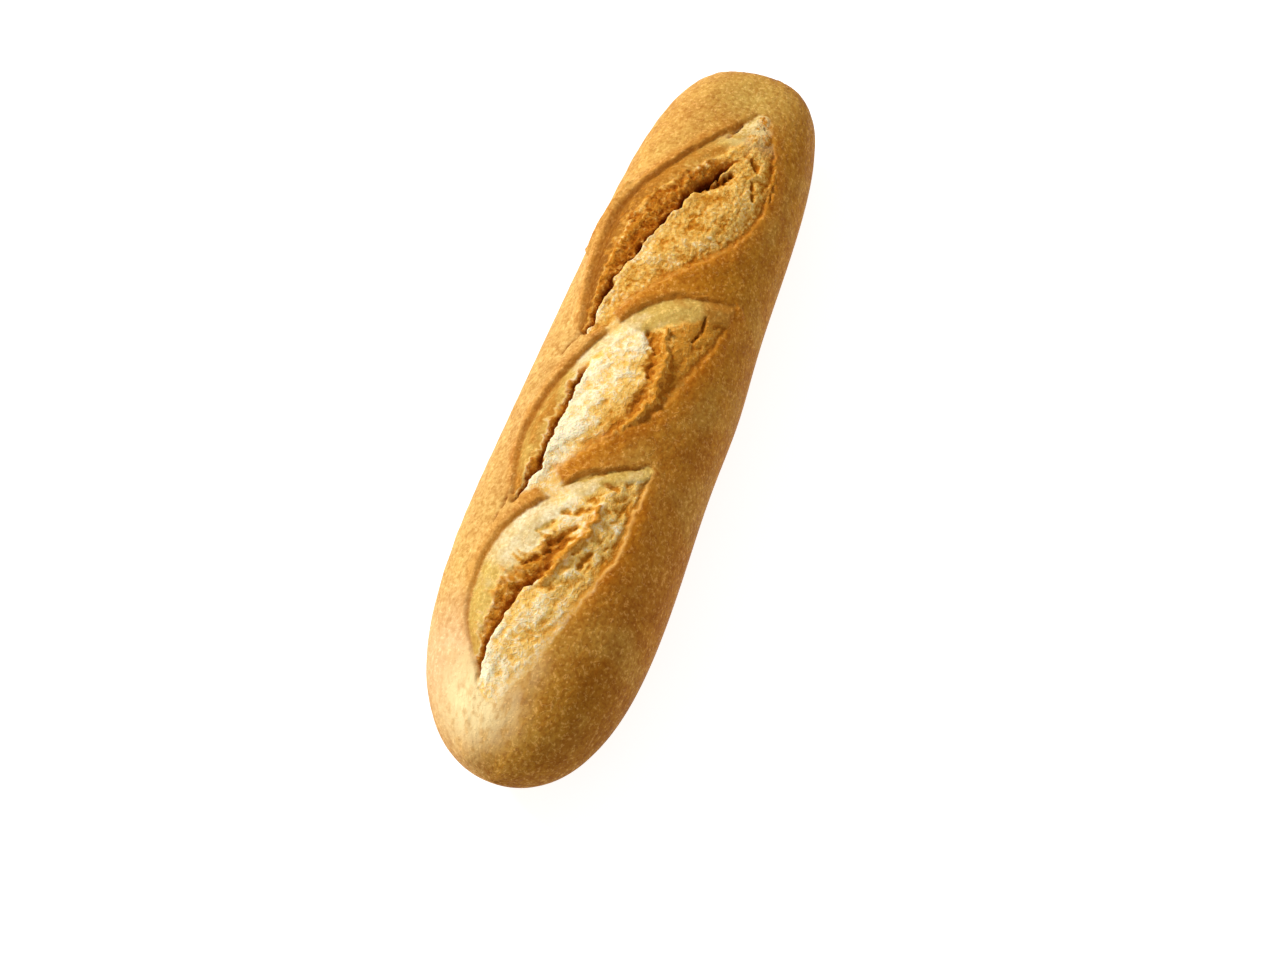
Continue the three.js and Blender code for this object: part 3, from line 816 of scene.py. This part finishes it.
CRUST_SPECKS = (0.84, 0.56, 0.22, 1)
SPECK_AND_GLINT_LIFT = (1.35, 1.35, 1.5, 1)
CRUMB_CREAM = (0.94, 0.82, 0.54, 1)
CRUMB_GOLD = (0.88, 0.55, 0.14, 1)
CRUMB_BROWN = (0.62, 0.28, 0.03, 1)
CRUMB_MOTTLE_AND_SHADE = (0.80, 0.58, 0.26, 1)
SKIN_PALE = (0.78, 0.65, 0.38, 1)
SKIN_OLIVE = (0.59, 0.385, 0.09, 1)
SKIN_BROWN = (0.44, 0.18, 0.02, 1)
SKIN_SHADE = (0.28, 0.10, 0.01, 1)
TOASTED = (0.60, 0.25, 0.025, 1)
SLOPE_BROWN = (0.46, 0.155, 0.010, 1)
CRACK_SHADE = (0.42, 0.26, 0.09, 1)
FLOUR = (0.80, 0.60, 0.27, 1)

# From where to where one crust colour turns into the next: along X, round the loaf from its
# crown, and down its back.
BACK_TURNS = (-20, 90)
CROWN_TURNS = (-15, 30)
FRONT_TURNS = (-40, 40)
NEAR_TURNS = (-60, -120)
BACK_TO_CROWN = (-0.75, 0.15)
CROWN_TO_FRONT = (0.1, 0.8)
ROUND_THE_BACK = (-0.3, -0.9)
DOWN_THE_BACK = (33, 16)

# Patches with a colour of their own: the middle and the reach.
PALE_SIDE = ((-100, 14, 33), 30)
FAR_END = ((112, -3, 42), 26)
NEAR_END = ((-112, 7, 40), 20)
NEAR_CROWN = ((-100, 0, 46), 14)
FLOURED = ((98, -7, 42), 16)

# The depths of the fine bumps and of the light in the crumb, in the shader's metres.
BUMP_DEPTH = 0.0006
GLOW_DEPTH = 0.0008
GLOW_COLOUR = (1.0, 0.5, 0.2)
CRUST_ROUGHNESS = 0.5
CRUMB_ROUGHNESS = 0.9

baked = bpy.data.materials.new("baked_loaf")
n = Nodes(baked)
n.where = n.add("ShaderNodeTexCoord").outputs["Object"]
girth = n.mask("girth")
shown = n.mask("shown")
proud = n.mask("proud")
n.axes = n.add("ShaderNodeSeparateXYZ", {0: n.where})

# Crust: broad colours from the back over the crown to the front, and the browned lips.
# Partly painted shade: the front, turned from the lamp, is darker than the back, most towards the
# near end.
patches = n.math("SUBTRACT", n.noise(34, 3, 0.55), 0.5)
drift = n.math("ADD", girth, n.times(patches, 0.9))
back_crust = n.mix(n.stretch("X", *BACK_TURNS), BACK_CRUST, BACK_FAR_CRUST)
front_crust = n.mix(n.stretch("X", *FRONT_TURNS), FRONT_CRUST, FRONT_FAR_CRUST)
front_crust = n.mix(n.stretch("X", *NEAR_TURNS), front_crust, NEAR_CRUST)
crown_crust = n.mix(n.stretch("X", *CROWN_TURNS), CROWN_CRUST, CROWN_FAR_CRUST)
crust = n.mix(n.span(drift, *BACK_TO_CROWN), back_crust, crown_crust)
crust = n.mix(n.span(drift, *CROWN_TO_FRONT), crust, front_crust)
# A paler patch on the back of the near end, partly a painted highlight where it faces the lamp.
pale_side = n.spot(*PALE_SIDE)
even = n.math("SUBTRACT", 1.0, n.times(pale_side, 0.7))
crust = n.mix(pale_side, crust, PALE_CRUST)
crust = n.mix(n.span(n.noise(19, 2, 0.5), 0.50, 0.64, 0, 0.25), crust, OLIVE_CRUST)
crust = n.mix(n.spot(*FAR_END), crust, OLIVE_CRUST)
low_on_back = n.times(n.stretch("Z", *DOWN_THE_BACK), n.span(girth, *ROUND_THE_BACK))
crust = n.mix(n.times(low_on_back, 0.8), crust, BACK_LOW_CRUST)
crust = n.mix(n.times(n.mask("roll"), 0.75), crust, ROLL_CRUST)
crust = n.mix(n.times(n.mask("rim"), 0.95), crust, RIM_CRUST)

# Crust: dimples, mottling, pale specks that are partly painted glints, and the faded, streaky near
# end.
fine_grain = n.noise(1.3, 3, 0.6)
dimples = n.span(fine_grain, 0.44, 0.66)
crust = n.tint(n.times(n.times(dimples, 0.6), even), crust, CRUST_MOTTLE_AND_SHADE)
mottle = n.span(n.noise(4, 3, 0.6), 0.42, 0.62, 0, 0.35)
crust = n.tint(n.times(mottle, even), crust, CRUST_MOTTLE_AND_SHADE)
crust = n.tint(n.span(n.noise(15, 3, 0.6), 0.40, 0.66, 0, 0.3), crust, CRUST_MOTTLE_AND_SHADE)
# Painted shade in the crust's hollows.
crust = n.tint(n.span(proud, -0.1, -0.8, 0, 0.6), crust, CRUST_MOTTLE_AND_SHADE)
blisters = n.cell(1.6)
chosen = n.span(blisters.outputs["Color"], 0.50, 0.70)
specks_and_glints = n.times(n.span(blisters.outputs["Distance"], 0.30, 0.12), chosen)
curls = n.times(n.strands(2.2, 0.04), n.span(n.noise(1.9, 1, 0.5), 0.52, 0.58))
specks_and_glints = n.math("MAXIMUM", specks_and_glints, curls)
specks_and_glints = n.math("MAXIMUM", specks_and_glints, n.span(fine_grain, 0.41, 0.34))
# The specks are lifted paler, partly as painted glints, and given a pale crust colour.
crust = n.tint(n.times(specks_and_glints, 0.9), crust, SPECK_AND_GLINT_LIFT)
crust = n.mix(n.times(specks_and_glints, 0.18), crust, CRUST_SPECKS)
stretched = n.add("ShaderNodeMapping", {"Vector": n.where, "Scale": (0.22, 1, 1)}).outputs[0]
streaks = n.noise(2.6, 3, 0.6, where=stretched)
faded = n.math("MAXIMUM", n.spot(*NEAR_END), n.times(n.spot(*NEAR_CROWN), 0.4))
faded = n.times(faded, n.span(streaks, 0.36, 0.56, 0.45, 1.2), clamp=True)
crust = n.mix(faded, crust, FADED_CRUST)
# A painted highlight along the broken edge of the front rims.
crust = n.mix(n.times(n.mask("edge"), 0.75), crust, RIM_EDGE_HIGHLIGHT)

# Crumb: cream to brown by how far it has baked; paler where proud and golden in hollows, partly
# painted shade.
bake = n.mask("bake")
web = n.math("MAXIMUM", n.strands(2.4, 0.045), n.strands(4.2, 0.025))
crumb_grain = n.noise(1.5, 3, 0.65)
grit = n.times(n.cell(1.2).outputs["Distance"], n.mask("grit"))
baked_by = n.math("ADD", bake, n.times(n.math("SUBTRACT", 0.5, crumb_grain), 1.8))
baked_by = n.math("SUBTRACT", baked_by, n.times(proud, 0.4))
baked_by = n.math("SUBTRACT", baked_by, n.times(web, 0.35))
clouds = n.math("SUBTRACT", n.noise(7, 3, 0.6), 0.5)
baked_by = n.math("ADD", baked_by, n.times(clouds, 1.8))
crumb = n.mix(n.span(baked_by, -0.45, 0.55), CRUMB_CREAM, CRUMB_GOLD)
crumb = n.mix(n.span(baked_by, 0.5, 1.3), crumb, CRUMB_BROWN)
# Painted warm shade: the crumb's hollows are tinted golden.
hollows = n.span(proud, 0.05, -0.6, 0, 0.75)
warm_painted_shade = n.times(hollows, n.span(bake, 0.0, 0.6, 0.2, 1.0))
crumb = n.tint(warm_painted_shade, crumb, CRUMB_MOTTLE_AND_SHADE)

# Skin: the smooth dough under the back lips, pale, olive or brown, and dark where shade is painted
# under a lip.
skin_by = n.math("ADD", bake, n.times(n.math("SUBTRACT", n.noise(5, 3), 0.5), 0.7))
skin = n.mix(n.span(skin_by, 0.0, 0.5), SKIN_PALE, SKIN_OLIVE)
skin = n.mix(n.span(skin_by, 0.5, 1.0), skin, SKIN_BROWN)
skin = n.mix(n.span(skin_by, 1.0, 1.5), skin, SKIN_SHADE)
skin = n.tint(n.times(dimples, 0.45), skin, CRUST_MOTTLE_AND_SHADE)
skin = n.tint(n.times(specks_and_glints, 0.9), skin, SPECK_AND_GLINT_LIFT)
skin = n.mix(n.times(specks_and_glints, 0.1), skin, CRUST_SPECKS)

# Toasted slopes and crests, then all of it together.
toasted = n.mix(n.mask("slope"), TOASTED, SLOPE_BROWN)
toasted = n.mix(n.span(crumb_grain, 0.52, 0.70, 0, 0.65), toasted, CRUMB_GOLD)
# Painted shade in the hollows of the toasted crumb.
toasted = n.tint(n.span(proud, 0.0, -0.7, 0, 0.8), toasted, CRUST_MOTTLE_AND_SHADE)
crumb = n.mix(n.span(n.mask("toast"), 0.0, 0.8), crumb, toasted)
# Painted shade in the gaps between the crumb's grains.
crumb = n.tint(n.span(grit, 0.35, 0.75, 0, 0.6), crumb, CRUMB_MOTTLE_AND_SHADE)
crumb = n.tint(n.span(n.noise(1.1, 2, 0.6), 0.50, 0.60, 0, 0.4), crumb, CRUMB_MOTTLE_AND_SHADE)
crumb = n.mix(n.mask("skin"), crumb, skin)
colour = n.mix(shown, crust, crumb)
# A painted shadow line inside each rolled back lip.
colour = n.mix(n.times(n.mask("drop"), 0.7), colour, LIP_SHADOW_CRUST)
floury = n.times(n.spot(*FLOURED), n.span(n.noise(3, 3, 0.7), 0.36, 0.56))
colour = n.mix(n.times(floury, shown), colour, FLOUR)
# Painted shade in the cracks.
colour = n.tint(n.span(n.mask("crack"), 0.0, 0.9), colour, CRACK_SHADE)

# Bumps and gloss: the crust is firm and a little smooth, the crumb loose, matt and soft.
crust_bump = n.math("ADD", fine_grain, n.times(specks_and_glints, 0.3))
crumb_bump = n.math("ADD", crumb_grain, n.times(web, 0.2))
crumb_bump = n.math("SUBTRACT", crumb_bump, n.times(grit, 0.5))
loose = n.times(shown, n.math("SUBTRACT", 1.0, n.times(n.mask("skin"), 0.7)))
bump_height = n.blend(loose, n.times(crust_bump, 0.4), n.times(crumb_bump, 0.8))
bump = n.add("ShaderNodeBump", {"Height": bump_height, "Strength": 1.0, "Distance": BUMP_DEPTH})
surface = n.add(
    "ShaderNodeBsdfPrincipled",
    {
        "Base Color": colour,
        "Roughness": n.blend(loose, CRUST_ROUGHNESS, CRUMB_ROUGHNESS),
        "Normal": bump.outputs[0],
        "Specular IOR Level": 0.02,
        "Subsurface Weight": n.times(loose, 0.2),
        "Subsurface Radius": GLOW_COLOUR,
        "Subsurface Scale": GLOW_DEPTH,
    },
)
n.add("ShaderNodeOutputMaterial", {"Surface": surface.outputs[0]})
loaf.data.materials.append(baked)
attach(loaf, "root")
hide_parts("baguette")


# ---- The table -------------------------------------------------------------------------------
# A white table top, lit from within like a light table, so that the loaf's shadow stays faint.
# It is one flat sheet, far wider than the loaf, with its top where the loaf's base rests.

TABLE_SIZE = 6.0
TABLE_WHITE = (0.5, 0.5, 0.51, 1)
TABLE_LIGHT = (1, 1, 1, 1)
TABLE_GLOW = 0.82

bpy.ops.mesh.primitive_plane_add(size=TABLE_SIZE)
table = bpy.context.object
table.name = "table"
table_white = bpy.data.materials.new("table_white")
n = Nodes(table_white)
surface = n.add(
    "ShaderNodeBsdfPrincipled",
    {
        "Base Color": TABLE_WHITE,
        "Roughness": 0.9,
        "Specular IOR Level": 0.0,
        "Emission Color": TABLE_LIGHT,
        "Emission Strength": TABLE_GLOW,
    },
)
n.add("ShaderNodeOutputMaterial", {"Surface": surface.outputs[0]})
table.data.materials.append(table_white)


# ---- Light and camera --------------------------------------------------------------------------
# One soft lamp from the far side of the loaf's paler flank, a bright room all round, and a
# camera that looks steeply down along the loaf.

KEY_FROM = (0.20, 0.72, 0.66)
KEY_SPREAD = math.radians(16)
KEY_STRENGTH = 3.3
ROOM_WHITE = (1.0, 0.99, 0.97, 1)
ROOM_BRIGHTNESS = 0.47

key = bpy.data.lights.new("key", "SUN")
key.angle = KEY_SPREAD
key.energy = KEY_STRENGTH
key_lamp = bpy.data.objects.new("key", key)
bpy.context.collection.objects.link(key_lamp)
key_lamp.location = KEY_FROM
key_lamp.rotation_euler = (
    math.atan2(math.hypot(KEY_FROM[0], KEY_FROM[1]), KEY_FROM[2]),
    0,
    math.atan2(KEY_FROM[1], KEY_FROM[0]) + math.pi / 2,
)

room = bpy.data.worlds.new("room")
room.use_nodes = True
room_light = room.node_tree.nodes["Background"]
room_light.inputs["Color"].default_value = ROOM_WHITE
room_light.inputs["Strength"].default_value = ROOM_BRIGHTNESS
bpy.context.scene.world = room
bpy.context.scene.view_settings.view_transform = "Standard"

CAMERA_AZIMUTH = math.radians(-70.7)
CAMERA_ELEVATION = math.radians(64)
CAMERA_DISTANCE = 0.65
CAMERA_AIM = np.array([-0.02346, -0.01096, 0.022])
SENSOR_WIDTH = 36
IMAGE_WIDTH = 1278
FOCAL_PIXELS = 2139.3

camera_data = bpy.data.cameras.new("camera")
camera_data.sensor_width = SENSOR_WIDTH
camera_data.lens = SENSOR_WIDTH * FOCAL_PIXELS / IMAGE_WIDTH
camera_data.clip_start = 0.01
camera_data.clip_end = 20
camera = bpy.data.objects.new("camera", camera_data)
bpy.context.collection.objects.link(camera)
towards_camera = np.array(
    [
        math.sin(CAMERA_AZIMUTH) * math.cos(CAMERA_ELEVATION),
        -math.cos(CAMERA_AZIMUTH) * math.cos(CAMERA_ELEVATION),
        math.sin(CAMERA_ELEVATION),
    ]
)
camera.location = CAMERA_AIM + towards_camera * CAMERA_DISTANCE
camera.rotation_euler = (math.pi / 2 - CAMERA_ELEVATION, 0, CAMERA_AZIMUTH)
bpy.context.scene.camera = camera
